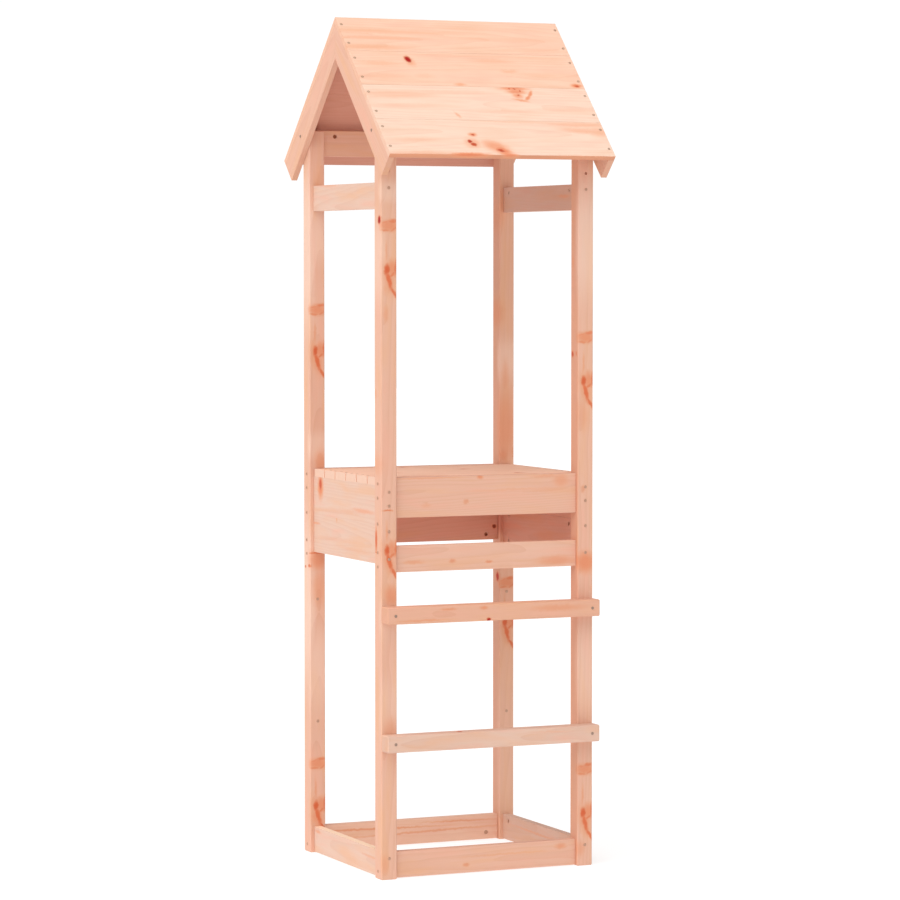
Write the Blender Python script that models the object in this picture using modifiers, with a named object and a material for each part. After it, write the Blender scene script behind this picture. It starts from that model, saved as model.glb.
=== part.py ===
"""Wooden play tower: four posts, a raised deck, two climbing steps and a boarded gable roof.

Units are metres, +Z is up, and the origin is on the ground under the middle of the tower.
The front, with the steps, faces -Y. Left and right are those of someone facing the front.
"""
import math

import bmesh
import bpy
from mathutils import Matrix, Vector

# Frame of the tower, measured over the outer faces of the posts
TOWER_WIDTH = 0.525
TOWER_DEPTH = 0.465
POST_SIZE = 0.038

# Board stock
BOARD_THICKNESS = 0.018
RAIL_WIDTH = 0.059
PANEL_BOARD_WIDTH = 0.088
EDGE_BOARD_WIDTH = 0.090

# Heights above the ground
RAIL_LIFT = 0.002
DECK_TOP = 0.9015
FRONT_RAIL_TOP = 0.7485
POST_HEIGHT = 1.688
COLLAR_BELOW_POST_TOP = 0.128

# Climbing steps
STEP_SIZE = 0.038
STEP_HEIGHTS = (0.309, 0.596)

# Deck
DECK_BOARD_COUNT = 6
DECK_BOARD_GAP = 0.004
DECK_POST_CLEARANCE = 0.0045

# Roof
ROOF_PITCH = math.radians(45.0)
ROOF_BOARD_WIDTH = 0.1120
ROOF_BOARD_GAP = 0.0003
ROOF_BOARD_COUNT = 4
ROOF_BOARD_THICKNESS = 0.012
RAFTER_WIDTH = 0.054
RAFTER_THICKNESS = 0.014

# Knock-down joints: a bolt runs through the post into a barrel nut in the board
BOLT_HOLE_DIAMETER = 0.0065
BARREL_DIAMETER = 0.010
BARREL_DEPTH = 0.0135
BARREL_INSET = 0.030
BOLT_RUN_PAST_BARREL = 0.006
BOLT_EDGE_INSET = 0.013
RAIL_BOLT_RISE = 0.0165
RAIL_BOLT_DROP = 0.0135
SPARE_HOLE_RISE = 0.037
IDLE_BORE_DEPTH = 0.028

# Fits and edges
FIT = 0.0003
EASED_EDGE = 0.0003
EASED_POST_EDGE = 0.0020
CUT_MARGIN = 0.005

# Sides of the smooth holes, fewer where the bore is buried in a board's end
HOLE_SIDES = 12
BURIED_BORE_SIDES = 8

LEFT, RIGHT = -1, 1
FRONT, BACK = -1, 1
SIDE_NAMES = {LEFT: "left", RIGHT: "right"}
END_NAMES = {FRONT: "front", BACK: "back"}

# Places worked out from the driving dimensions
POST_X = (TOWER_WIDTH - POST_SIZE) / 2
POST_Y = (TOWER_DEPTH - POST_SIZE) / 2
ACROSS_LENGTH = TOWER_WIDTH - 2 * POST_SIZE - 2 * FIT
ALONG_LENGTH = TOWER_DEPTH - 2 * POST_SIZE - 2 * FIT

RAIL_CENTRE = RAIL_LIFT + RAIL_WIDTH / 2
DECK_UNDERSIDE = DECK_TOP - BOARD_THICKNESS
EDGE_BOARD_BOTTOM = DECK_TOP - EDGE_BOARD_WIDTH
FRONT_RAIL_BOTTOM = FRONT_RAIL_TOP - RAIL_WIDTH
SIDE_PANEL_TOP = DECK_UNDERSIDE - FIT
SIDE_JOINT = SIDE_PANEL_TOP - PANEL_BOARD_WIDTH
SIDE_PANEL_BOTTOM = SIDE_JOINT - FIT - PANEL_BOARD_WIDTH
BACK_PANEL_BOTTOM = EDGE_BOARD_BOTTOM - FIT - EDGE_BOARD_WIDTH

SLOPE_LENGTH = ROOF_BOARD_COUNT * (ROOF_BOARD_WIDTH + ROOF_BOARD_GAP) - ROOF_BOARD_GAP
ROOF_LENGTH = TOWER_WIDTH + 2 * (FIT + RAFTER_THICKNESS)
ROOF_RISE_OVER_POST = TOWER_DEPTH / 2 * math.tan(ROOF_PITCH)
ROOF_UNDERSIDE = POST_HEIGHT + ROOF_RISE_OVER_POST
RIDGE_HEIGHT = ROOF_UNDERSIDE + (ROOF_BOARD_THICKNESS + FIT) / math.cos(ROOF_PITCH)
BEAM_CENTRE = POST_HEIGHT - RAIL_WIDTH / 2
COLLAR_BOTTOM = POST_HEIGHT - COLLAR_BELOW_POST_TOP - RAIL_WIDTH
COLLAR_CENTRE = COLLAR_BOTTOM + RAIL_WIDTH / 2

DECK_DEPTH = TOWER_DEPTH - 2 * (POST_SIZE + DECK_POST_CLEARANCE)
DECK_BOARD_PITCH = (DECK_DEPTH + DECK_BOARD_GAP) / DECK_BOARD_COUNT
DECK_BOARD_WIDTH = DECK_BOARD_PITCH - DECK_BOARD_GAP
DECK_BOARD_LENGTH = 2 * POST_X + BOARD_THICKNESS

# Heights of the bolts that run across the tower, along X
ACROSS_BASE_BOLT = RAIL_CENTRE - RAIL_BOLT_DROP
ACROSS_RAIL_BOLT = FRONT_RAIL_BOTTOM + BOLT_EDGE_INSET
ACROSS_PANEL_LOW_BOLT = BACK_PANEL_BOTTOM + BOLT_EDGE_INSET
ACROSS_PANEL_HIGH_BOLT = EDGE_BOARD_BOTTOM - FIT - BOLT_EDGE_INSET
ACROSS_DECK_LOW_BOLT = DECK_TOP - EDGE_BOARD_WIDTH / 2
ACROSS_DECK_HIGH_BOLT = DECK_TOP - BOLT_EDGE_INSET
ACROSS_BEAM_BOLT = BEAM_CENTRE + RAIL_BOLT_RISE

# Heights of the bolts that run from front to back, along Y
ALONG_BASE_BOLT = RAIL_CENTRE + RAIL_BOLT_RISE
ALONG_PANEL_LOW_BOLT = SIDE_PANEL_BOTTOM + BOLT_EDGE_INSET
ALONG_PANEL_HIGH_BOLT = SIDE_JOINT - FIT - BOLT_EDGE_INSET
ALONG_DECK_LOW_BOLT = SIDE_PANEL_TOP - PANEL_BOARD_WIDTH / 2
ALONG_DECK_HIGH_BOLT = SIDE_PANEL_TOP - BOLT_EDGE_INSET
ALONG_COLLAR_BOLT = COLLAR_CENTRE + RAIL_BOLT_RISE

# A bore along X runs through the post where a board meets it, and stops short where none does
ACROSS_HOLES = (ACROSS_BASE_BOLT, ACROSS_PANEL_LOW_BOLT, ACROSS_DECK_LOW_BOLT,
                ACROSS_DECK_HIGH_BOLT, ACROSS_BEAM_BOLT)
ACROSS_OWN_HOLE = {FRONT: ACROSS_RAIL_BOLT, BACK: ACROSS_PANEL_HIGH_BOLT}
ALONG_HOLES = (ALONG_BASE_BOLT, *STEP_HEIGHTS, ALONG_PANEL_LOW_BOLT, ALONG_PANEL_HIGH_BOLT,
               ALONG_DECK_LOW_BOLT, ALONG_DECK_HIGH_BOLT, ALONG_COLLAR_BOLT)
SPARE_HOLE = ALONG_COLLAR_BOLT + SPARE_HOLE_RISE


def clear_scene():
    """Remove the objects and meshes that are already in the file."""
    for old_object in list(bpy.data.objects):
        bpy.data.objects.remove(old_object, do_unlink=True)
    for old_mesh in list(bpy.data.meshes):
        bpy.data.meshes.remove(old_mesh)


def new_collection(name):
    collection = bpy.data.collections.new(name)
    bpy.context.scene.collection.children.link(collection)
    return collection


clear_scene()
tower = new_collection("play_tower")
cutters = new_collection("drill_cutters")

# The empty stands on the ground under the middle of the tower and carries every piece
base = bpy.data.objects.new("play_tower_base", None)
base.empty_display_size = POST_SIZE
tower.objects.link(base)


def linear(hex_colour):
    """Turn an sRGB hex colour into the linear values that a shader takes."""
    channels = [int(hex_colour[i:i + 2], 16) / 255 for i in (1, 3, 5)]
    return [c / 12.92 if c <= 0.04045 else ((c + 0.055) / 1.055) ** 2.4 for c in channels]


def untreated_softwood(piece_name, hex_colour):
    """Planed softwood with no finish: pale salmon, dull, with no metal in it."""
    material = bpy.data.materials.new(piece_name + "_softwood")
    material.use_nodes = True
    shader = material.node_tree.nodes["Principled BSDF"]
    shader.inputs["Base Color"].default_value = (*linear(hex_colour), 1.0)
    shader.inputs["Roughness"].default_value = 0.7
    shader.inputs["Metallic"].default_value = 0.0
    return material


def add_timber(name, size, location, hex_colour, tilt=0.0, eased=EASED_EDGE, cut=None):
    """A square-sawn length of timber with eased edges.

    size is its length along X, Y and Z before it is tilted about X. cut, if given, is a point
    and a direction in the piece's own axes: what lies beyond that plane is sawn off.
    """
    mesh = bpy.data.meshes.new(name)
    shape = bmesh.new()
    bmesh.ops.create_cube(shape, size=1.0)
    bmesh.ops.scale(shape, vec=size, verts=shape.verts)
    if cut:
        plane_point, plane_direction = cut
        geometry = shape.verts[:] + shape.edges[:] + shape.faces[:]
        sawn = bmesh.ops.bisect_plane(shape, geom=geometry, plane_co=plane_point,
                                      plane_no=plane_direction, clear_outer=True)
        edges = [item for item in sawn["geom_cut"] if isinstance(item, bmesh.types.BMEdge)]
        bmesh.ops.contextual_create(shape, geom=edges)
        bmesh.ops.recalc_face_normals(shape, faces=shape.faces)
    shape.to_mesh(mesh)
    shape.free()
    piece = bpy.data.objects.new(name, mesh)
    piece.location = location
    piece.rotation_euler = (tilt, 0.0, 0.0)
    piece.parent = base
    mesh.materials.append(untreated_softwood(name, hex_colour))
    tower.objects.link(piece)
    ease = piece.modifiers.new("eased_edges", "BEVEL")
    ease.width = eased
    ease.segments = 1
    ease.limit_method = "ANGLE"
    ease.angle_limit = math.radians(30.0)
    return piece


def drill(piece, label, bores, diameter, sides=HOLE_SIDES):
    """Drill straight bores into a piece. Each bore is its two end points on the drill's axis."""
    mesh = bpy.data.meshes.new(label)
    shape = bmesh.new()
    for start, end in bores:
        run = Vector(end) - Vector(start)
        middle = (Vector(start) + Vector(end)) / 2
        place = Matrix.Translation(middle) @ run.to_track_quat("Z", "Y").to_matrix().to_4x4()
        bmesh.ops.create_cone(shape, cap_ends=True, segments=sides, radius1=diameter / 2,
                              radius2=diameter / 2, depth=run.length, matrix=place)
    shape.to_mesh(mesh)
    shape.free()
    cutter = bpy.data.objects.new(label, mesh)
    cutter.hide_render = True
    cutter.display_type = "WIRE"
    cutter.parent = base
    cutters.objects.link(cutter)
    hole = piece.modifiers.new(label, "BOOLEAN")
    hole.operation = "DIFFERENCE"
    hole.solver = "EXACT"
    hole.use_self = True
    hole.object = cutter


def through_bore_across(x, y, z, thickness):
    """The two ends of a bore along X that runs out of both faces."""
    reach = thickness / 2 + CUT_MARGIN
    return (x - reach, y, z), (x + reach, y, z)


def through_bore_along(x, y, z, thickness):
    """The two ends of a bore along Y that runs out of both faces."""
    reach = thickness / 2 + CUT_MARGIN
    return (x, y - reach, z), (x, y + reach, z)


def add_posts():
    """Four posts with the same pattern of bolt holes, and a spare open hole in the front two."""
    for end in (FRONT, BACK):
        for side in (LEFT, RIGHT):
            name = f"{END_NAMES[end]}_{SIDE_NAMES[side]}_post"
            x, y = side * POST_X, end * POST_Y
            post = add_timber(name, (POST_SIZE, POST_SIZE, POST_HEIGHT), (x, y, POST_HEIGHT / 2),
                              "#E8B899", eased=EASED_POST_EDGE)
            bores = [through_bore_across(x, y, z, POST_SIZE)
                     for z in (*ACROSS_HOLES, ACROSS_OWN_HOLE[end])]
            bores += [through_bore_along(x, y, z, POST_SIZE) for z in ALONG_HOLES]
            outer_face, idle_z = x + side * POST_SIZE / 2, ACROSS_OWN_HOLE[-end]
            bores.append(((outer_face + side * CUT_MARGIN, y, idle_z),
                          (outer_face - side * IDLE_BORE_DEPTH, y, idle_z)))
            if end == FRONT:
                bores.append(through_bore_along(x, y, SPARE_HOLE, POST_SIZE))
            drill(post, name + "_bolt_holes", bores, BOLT_HOLE_DIAMETER)


def add_across_board(name, end, bottom, width, bolt_heights, hex_colour):
    """A board that runs along X between two posts, held at each end by bolts and barrel nuts."""
    y = end * POST_Y
    board = add_timber(name, (ACROSS_LENGTH, BOARD_THICKNESS, width), (0.0, y, bottom + width / 2),
                       hex_colour)
    inner_face = y - end * BOARD_THICKNESS / 2
    barrels, bolts = [], []
    for side in (LEFT, RIGHT):
        board_end = side * ACROSS_LENGTH / 2
        barrel_x = board_end - side * BARREL_INSET
        for z in bolt_heights:
            barrels.append(((barrel_x, inner_face - end * CUT_MARGIN, z),
                            (barrel_x, inner_face + end * BARREL_DEPTH, z)))
            bolts.append(((board_end + side * CUT_MARGIN, y, z),
                          (barrel_x - side * BOLT_RUN_PAST_BARREL, y, z)))
    drill(board, name + "_barrel_bores", barrels, BARREL_DIAMETER)
    drill(board, name + "_bolt_bores", bolts, BOLT_HOLE_DIAMETER, BURIED_BORE_SIDES)
    return board


def add_along_board(name, side, bottom, width, bolt_heights, hex_colour):
    """A board that runs along Y between two posts, held at each end by bolts and barrel nuts."""
    x = side * POST_X
    board = add_timber(name, (BOARD_THICKNESS, ALONG_LENGTH, width), (x, 0.0, bottom + width / 2),
                       hex_colour)
    inner_face = x - side * BOARD_THICKNESS / 2
    barrels, bolts = [], []
    for end in (FRONT, BACK):
        board_end = end * ALONG_LENGTH / 2
        barrel_y = board_end - end * BARREL_INSET
        for z in bolt_heights:
            barrels.append(((inner_face - side * CUT_MARGIN, barrel_y, z),
                            (inner_face + side * BARREL_DEPTH, barrel_y, z)))
            bolts.append(((x, board_end + end * CUT_MARGIN, z),
                          (x, barrel_y - end * BOLT_RUN_PAST_BARREL, z)))
    drill(board, name + "_barrel_bores", barrels, BARREL_DIAMETER)
    drill(board, name + "_bolt_bores", bolts, BOLT_HOLE_DIAMETER, BURIED_BORE_SIDES)
    return board


def add_base_rails():
    """Four rails just clear of the ground, which keep the feet of the posts square."""
    for end in (FRONT, BACK):
        add_across_board(f"{END_NAMES[end]}_base_rail", end, RAIL_LIFT, RAIL_WIDTH,
                         (ACROSS_BASE_BOLT,), "#E6B493")
    for side in (LEFT, RIGHT):
        add_along_board(f"{SIDE_NAMES[side]}_base_rail", side, RAIL_LIFT, RAIL_WIDTH,
                        (ALONG_BASE_BOLT,), "#EDC2A6")


def add_front_boards():
    """A wide board that closes the deck's front edge, and a narrow one below an open slot."""
    add_across_board("front_upper_board", FRONT, EDGE_BOARD_BOTTOM, EDGE_BOARD_WIDTH,
                     (ACROSS_DECK_LOW_BOLT, ACROSS_DECK_HIGH_BOLT), "#E6B391")
    add_across_board("front_lower_board", FRONT, FRONT_RAIL_BOTTOM, RAIL_WIDTH,
                     (ACROSS_RAIL_BOLT, ACROSS_PANEL_LOW_BOLT), "#E8B697")


def add_back_panel():
    """Two boards, one on the other, that close the deck's back edge."""
    add_across_board("back_upper_board", BACK, EDGE_BOARD_BOTTOM, EDGE_BOARD_WIDTH,
                     (ACROSS_DECK_LOW_BOLT, ACROSS_DECK_HIGH_BOLT), "#E3AE8D")
    add_across_board("back_lower_board", BACK, BACK_PANEL_BOTTOM, EDGE_BOARD_WIDTH,
                     (ACROSS_PANEL_LOW_BOLT, ACROSS_PANEL_HIGH_BOLT), "#E0AA88")


def add_side_panels():
    """Two boards a side, one on the other, whose top edge carries the deck."""
    for side in (LEFT, RIGHT):
        add_along_board(f"{SIDE_NAMES[side]}_upper_board", side, SIDE_JOINT, PANEL_BOARD_WIDTH,
                        (ALONG_DECK_LOW_BOLT, ALONG_DECK_HIGH_BOLT), "#F0C6AC")
        add_along_board(f"{SIDE_NAMES[side]}_lower_board", side, SIDE_PANEL_BOTTOM,
                        PANEL_BOARD_WIDTH, (ALONG_PANEL_LOW_BOLT, ALONG_PANEL_HIGH_BOLT), "#F2C9B0")


def add_deck():
    """Boards laid across the side panels, with their ends flush with the panels' outer faces."""
    first_y = -(DECK_BOARD_COUNT - 1) / 2 * DECK_BOARD_PITCH
    for number in range(DECK_BOARD_COUNT):
        y = first_y + number * DECK_BOARD_PITCH
        add_timber(f"deck_board_{number + 1}", (DECK_BOARD_LENGTH, DECK_BOARD_WIDTH, BOARD_THICKNESS),
                   (0.0, y, DECK_TOP - BOARD_THICKNESS / 2), "#F0C8AE")


def add_steps():
    """Two square bars across the front faces of the posts, one bolt to a post."""
    y = -TOWER_DEPTH / 2 - FIT - STEP_SIZE / 2
    for name, z in zip(("lower_step", "upper_step"), STEP_HEIGHTS):
        step = add_timber(name, (TOWER_WIDTH, STEP_SIZE, STEP_SIZE), (0.0, y, z), "#EBBB9C",
                          eased=EASED_POST_EDGE)
        bores = [through_bore_along(side * POST_X, y, z, STEP_SIZE) for side in (LEFT, RIGHT)]
        drill(step, name + "_bolt_holes", bores, BOLT_HOLE_DIAMETER)


def add_collars_and_beams():
    """Rails that tie the tops of the posts: collars at the sides, beams at front and back."""
    for side in (LEFT, RIGHT):
        add_along_board(f"{SIDE_NAMES[side]}_collar", side, COLLAR_BOTTOM, RAIL_WIDTH,
                        (ALONG_COLLAR_BOLT,), "#EFC5AB")
    for end in (FRONT, BACK):
        add_across_board(f"{END_NAMES[end]}_top_beam", end, POST_HEIGHT - RAIL_WIDTH, RAIL_WIDTH,
                         (ACROSS_BEAM_BOLT,), "#DDA583")


def roof_point(end, distance, depth):
    """A point on one slope of the roof, in the plane X = 0.

    distance is measured down the slope from the ridge line, and depth square to the slope,
    down from the roof's upper surface.
    """
    down_slope = Vector((0.0, end * math.cos(ROOF_PITCH), -math.sin(ROOF_PITCH)))
    outward = Vector((0.0, end * math.sin(ROOF_PITCH), math.cos(ROOF_PITCH)))
    return Vector((0.0, 0.0, RIDGE_HEIGHT)) + distance * down_slope - depth * outward


def plumb_cut(end, centre):
    """The upright saw cut at the middle of the gable, in the axes of a piece on one slope."""
    turn_back = Matrix.Rotation(end * ROOF_PITCH, 3, "X")
    cut_point = Vector((0.0, end * FIT / 2, centre.z)) - centre
    return turn_back @ cut_point, turn_back @ Vector((0.0, -end, 0.0))


def add_rafters():
    """Gable rafters on the outer faces of the posts, mitred plumb where each pair meets."""
    depth = ROOF_BOARD_THICKNESS + FIT + RAFTER_WIDTH / 2
    for side in (LEFT, RIGHT):
        x = side * (TOWER_WIDTH / 2 + FIT + RAFTER_THICKNESS / 2)
        for end in (FRONT, BACK):
            name = f"{END_NAMES[end]}_{SIDE_NAMES[side]}_rafter"
            centre = roof_point(end, SLOPE_LENGTH / 2, depth)
            rafter = add_timber(name, (RAFTER_THICKNESS, SLOPE_LENGTH, RAFTER_WIDTH),
                                (x, centre.y, centre.z), "#F0C7AD", tilt=-end * ROOF_PITCH,
                                cut=plumb_cut(end, centre))
            bore = through_bore_across(x, end * POST_Y, ACROSS_BEAM_BOLT, RAFTER_THICKNESS)
            drill(rafter, name + "_bolt_hole", [bore], BOLT_HOLE_DIAMETER)


def add_roof_boards():
    """Boards that run the length of the roof on both slopes. The top two meet in a plumb mitre."""
    pitch = ROOF_BOARD_WIDTH + ROOF_BOARD_GAP
    for end in (FRONT, BACK):
        for row in range(ROOF_BOARD_COUNT):
            centre = roof_point(end, row * pitch + ROOF_BOARD_WIDTH / 2, ROOF_BOARD_THICKNESS / 2)
            add_timber(f"{END_NAMES[end]}_roof_board_{row + 1}",
                       (ROOF_LENGTH, ROOF_BOARD_WIDTH, ROOF_BOARD_THICKNESS), centre, "#F8D3B8",
                       tilt=-end * ROOF_PITCH, cut=plumb_cut(end, centre) if row == 0 else None)


add_posts()
add_base_rails()
add_front_boards()
add_back_panel()
add_side_panels()
add_deck()
add_steps()
add_collars_and_beams()
add_rafters()
add_roof_boards()
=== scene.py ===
# %% [markdown]
# # A wooden play tower, dressed in Blender
#
# The real object is a small garden play tower: four square posts, a raised deck, two climbing
# steps and a boarded gable roof, all of planed, untreated softwood held by zinc plated bolts.
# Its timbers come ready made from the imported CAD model, one object a board. This script gives
# each board the grain, knots and colour of real wood, adds the bolts, barrel nuts and screws,
# and sets up the camera, the floor and the light.

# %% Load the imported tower
import math
import random

import bmesh
import bpy
from mathutils import Matrix, Vector


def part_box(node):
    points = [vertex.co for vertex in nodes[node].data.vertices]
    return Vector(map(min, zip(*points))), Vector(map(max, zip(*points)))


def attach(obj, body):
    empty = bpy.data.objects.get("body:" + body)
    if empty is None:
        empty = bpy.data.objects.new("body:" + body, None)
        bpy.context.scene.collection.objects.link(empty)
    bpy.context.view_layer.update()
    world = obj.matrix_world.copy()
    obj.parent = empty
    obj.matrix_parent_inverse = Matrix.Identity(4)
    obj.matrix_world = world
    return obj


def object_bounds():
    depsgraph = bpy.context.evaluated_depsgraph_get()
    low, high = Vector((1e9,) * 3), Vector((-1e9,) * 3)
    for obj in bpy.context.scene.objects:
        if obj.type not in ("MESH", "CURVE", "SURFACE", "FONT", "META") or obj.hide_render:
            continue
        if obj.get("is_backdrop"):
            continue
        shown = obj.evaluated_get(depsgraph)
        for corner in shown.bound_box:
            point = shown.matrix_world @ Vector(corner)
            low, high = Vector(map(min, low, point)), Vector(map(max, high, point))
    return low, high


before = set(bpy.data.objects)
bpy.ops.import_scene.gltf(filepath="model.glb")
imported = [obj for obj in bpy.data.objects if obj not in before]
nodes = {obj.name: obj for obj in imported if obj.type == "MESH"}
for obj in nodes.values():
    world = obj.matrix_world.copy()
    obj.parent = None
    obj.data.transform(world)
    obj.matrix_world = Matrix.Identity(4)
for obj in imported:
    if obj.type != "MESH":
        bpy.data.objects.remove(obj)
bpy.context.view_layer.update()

# %% [markdown]
# ## The camera
#
# The photo was taken with a long lens, from the left of the front and a little below the roof.
# A long lens keeps the posts almost parallel. We set the lens, the place and the two turning
# angles that were worked out from the straight edges of the photo, and need no lens shift.

# %% Camera
MM = 0.001
CAMERA_LENS = 146.2
CAMERA_PLACE = (-3.4264, -7.7155, 1.3735)
CAMERA_YAW = math.radians(24.0)
CAMERA_PITCH = math.radians(-2.88)

scene = bpy.context.scene
camera_data = bpy.data.cameras.new("camera")
camera_data.lens = CAMERA_LENS
camera_data.sensor_width = 36.0
camera_data.clip_end = 100.0
camera = bpy.data.objects.new("camera", camera_data)
camera.location = CAMERA_PLACE
camera.rotation_euler = (math.pi / 2 + CAMERA_PITCH, 0.0, -CAMERA_YAW)
scene.collection.objects.link(camera)
scene.camera = camera
print("lens:", CAMERA_LENS, "mm")

# %% [markdown]
# ## Colours and nodes
#
# Colours are easiest to pick as the hex values that a paint program shows. Those are sRGB, and
# a shader wants linear light, so one function turns them. A second small function adds a node
# and fills its sockets, which keeps every material below short enough to read.


# %% Colours and nodes
def linear(hex_colour):
    """sRGB hex to the linear RGBA that a shader takes."""
    channels = [int(hex_colour[i:i + 2], 16) / 255 for i in (1, 3, 5)]
    return (*(c / 12.92 if c <= 0.04045 else ((c + 0.055) / 1.055) ** 2.4 for c in channels), 1.0)


def add(tree, kind, inputs=(), **settings):
    """Add a node with its settings. Each input is a value, or the output that feeds it."""
    node = tree.nodes.new(kind)
    for setting, value in settings.items():
        setattr(node, setting, value)
    for socket, value in dict(inputs).items():
        if isinstance(value, bpy.types.NodeSocket):
            tree.links.new(value, node.inputs[socket])
        else:
            node.inputs[socket].default_value = value
    return node


def new_material(name):
    material = bpy.data.materials.new(name)
    material.use_nodes = True
    return material, material.node_tree, material.node_tree.nodes["Principled BSDF"]


# %% [markdown]
# ## Floor and light
#
# A product photo stands on a plain white floor in soft light, nearly without shadows. The world
# is a white wall all round with a dimmer ceiling, and it lights every upright face alike. One
# very wide lamp, high on the left, makes the roof and the left faces the brightest and the right
# faces the darkest. The floor is a light table: most of its white is its own glow, so that the
# tower's shade hardly shows on it.

# %% Floor
FLOOR_SIZE = 60.0
FLOOR_GLOW = 0.68
floor_mesh = bpy.data.meshes.new("studio_floor")
shape = bmesh.new()
bmesh.ops.create_grid(shape, x_segments=1, y_segments=1, size=FLOOR_SIZE / 2)
shape.to_mesh(floor_mesh)
shape.free()
floor = bpy.data.objects.new("studio_floor", floor_mesh)
scene.collection.objects.link(floor)
floor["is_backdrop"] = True

# Opal glass lit from below: no gloss, and a faint cloudiness that keeps it from looking flat
floor_glass, tree, shader = new_material("lit_opal_glass")
place = add(tree, "ShaderNodeTexCoord")
clouds = add(tree, "ShaderNodeTexNoise", {"Vector": place.outputs["Object"], "Scale": 0.8})
tone = add(tree, "ShaderNodeMix", {0: clouds.outputs["Fac"], 6: linear("#ABABAB"),
                                   7: linear("#AFAFAF")}, data_type="RGBA")
tree.links.new(tone.outputs[2], shader.inputs["Base Color"])
shader.inputs["Roughness"].default_value = 0.9
shader.inputs["Specular IOR Level"].default_value = 0.1
shader.inputs["Emission Color"].default_value = linear("#FFFFFF")
shader.inputs["Emission Strength"].default_value = FLOOR_GLOW
floor_mesh.materials.append(floor_glass)

# %% Light
# The studio's wall is bright white all round, and its ceiling dimmer
WALL_STRENGTH = 1.03
CEILING_SHARE = 0.39
WALL_TOP, CEILING_START = 0.10, 0.25
world = bpy.data.worlds.new("white_studio")
world.use_nodes = True
tree = world.node_tree
direction = add(tree, "ShaderNodeTexCoord").outputs["Generated"]
upward = add(tree, "ShaderNodeSeparateXYZ", {0: direction}).outputs["Z"]
share = add(tree, "ShaderNodeMapRange", {
    "Value": upward, "From Min": WALL_TOP, "From Max": CEILING_START,
    "To Min": WALL_STRENGTH, "To Max": WALL_STRENGTH * CEILING_SHARE},
    interpolation_type="SMOOTHSTEP")
tree.links.new(share.outputs[0], tree.nodes["Background"].inputs["Strength"])
tree.nodes["Background"].inputs["Color"].default_value = linear("#FFFFFF")
scene.world = world

# One wide, far softbox: a sun lamp with a very large disc, so the whole floor is lit alike
KEY_IRRADIANCE = 2.50
KEY_FROM = Vector((-0.50, -0.30, 0.81))
KEY_SOFTNESS = math.radians(75.0)
key_data = bpy.data.lights.new("key_softbox", "SUN")
key_data.energy = KEY_IRRADIANCE
key_data.angle = KEY_SOFTNESS
key = bpy.data.objects.new("key_softbox", key_data)
key.rotation_euler = KEY_FROM.to_track_quat("Z", "Y").to_euler()
scene.collection.objects.link(key)
scene.view_settings.view_transform = "Standard"
print("lights:", [lamp.name for lamp in bpy.data.lights])

# %% [markdown]
# ## Softwood
#
# A board is a slice of a trunk, so its pattern is solid: growth rings are tubes round the pith,
# drawn out along the grain. We rebuild that. Each board gets its own axes, with X along its
# grain, and an imaginary pith a few centimetres outside it. Rings round that pith then give wide
# arches on the flat faces, fine lines on the edges and arcs on the end grain, all joined up over
# the corners, which a flat picture of wood can't do.
#
# Knots are where branches left the trunk. Each one is an ellipsoid of darker, redder wood near
# the surface, and the rings are pushed aside round it. The same ellipsoids, drawn long and thin,
# give resin streaks and stained bands.

# %% Wood colours
# The tints of planed, unfinished softwood in the photo: early wood is the pale part of a ring,
# and late wood its dark line.
TINTS = {
    "pale": ("#DEBBA8", "#CE9B81"),
    "rosy": ("#E1B199", "#D09377"),
    "warm": ("#E0AB91", "#CB8C6B"),
    "light": ("#F0C8B1", "#E1AB8B"),
    "bright": ("#F2C8AF", "#E4AC8C"),
    "cream": ("#F2D2BD", "#E5B69A"),
    "blush": ("#E3B59E", "#D1977B"),
    "sunny": ("#FBCCB1", "#EAAC89"),
}
SAPWOOD_AND_LIGHT = "#F7E0CF"
HONEY = "#E2AC86"
ROSE = "#E6AB93"
AMBER = "#DF9B6F"
ROOF_AMBER = "#F1B48B"
RESIN = "#DB6C40"
KNOT_AND_SHADE = "#A60200"
DEAD_KNOT = "#7C3E28"
END_GRAIN = "#C98A66"


# %% Board axes
def board_axes(grain, width):
    """The turn from the tower's axes to a board's: X along the grain, Y across its width."""
    grain, width = Vector(grain), Vector(width)
    return Matrix((grain, width, grain.cross(width))).transposed()


SLOPE = math.sqrt(0.5)
AXES = {
    "upright": board_axes((0, 0, 1), (1, 0, 0)),
    "across": board_axes((1, 0, 0), (0, 0, 1)),
    "along": board_axes((0, 1, 0), (0, 0, 1)),
    "flat": board_axes((1, 0, 0), (0, 1, 0)),
    "front_slope": board_axes((1, 0, 0), (0, SLOPE, SLOPE)),
    "back_slope": board_axes((1, 0, 0), (0, SLOPE, -SLOPE)),
    "front_rafter": board_axes((0, SLOPE, SLOPE), (0, SLOPE, -SLOPE)),
    "back_rafter": board_axes((0, SLOPE, -SLOPE), (0, SLOPE, SLOPE)),
}

# %% [markdown]
# ## Where the marks lie
#
# A mark is written as it would be measured on the real board: the face it is on, its place on
# that face and its half sizes in millimetres, how far its top leans to the right, and how strong
# its stain and its dark heart are. A stain below nothing is a patch of paler sapwood, but three
# such pale patches on the right posts are painted light that lifts shade, and one dark heart
# without a stain, on the back right post, is painted shade. Places are in the tower's own axes,
# so a mark at a height of 1476 mm really is 1476 mm above the ground.
#
# The marks on the faces that the photo shows were measured there. The faces that it doesn't show
# get a few of the same kinds, because the object is looked at from all sides.

# %% Marks
# A mark reaches this deep under its face, in millimetres, and a wide one up to the second value
MARK_DEPTH, MOST_DEPTH = 9.0, 18.0
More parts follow.
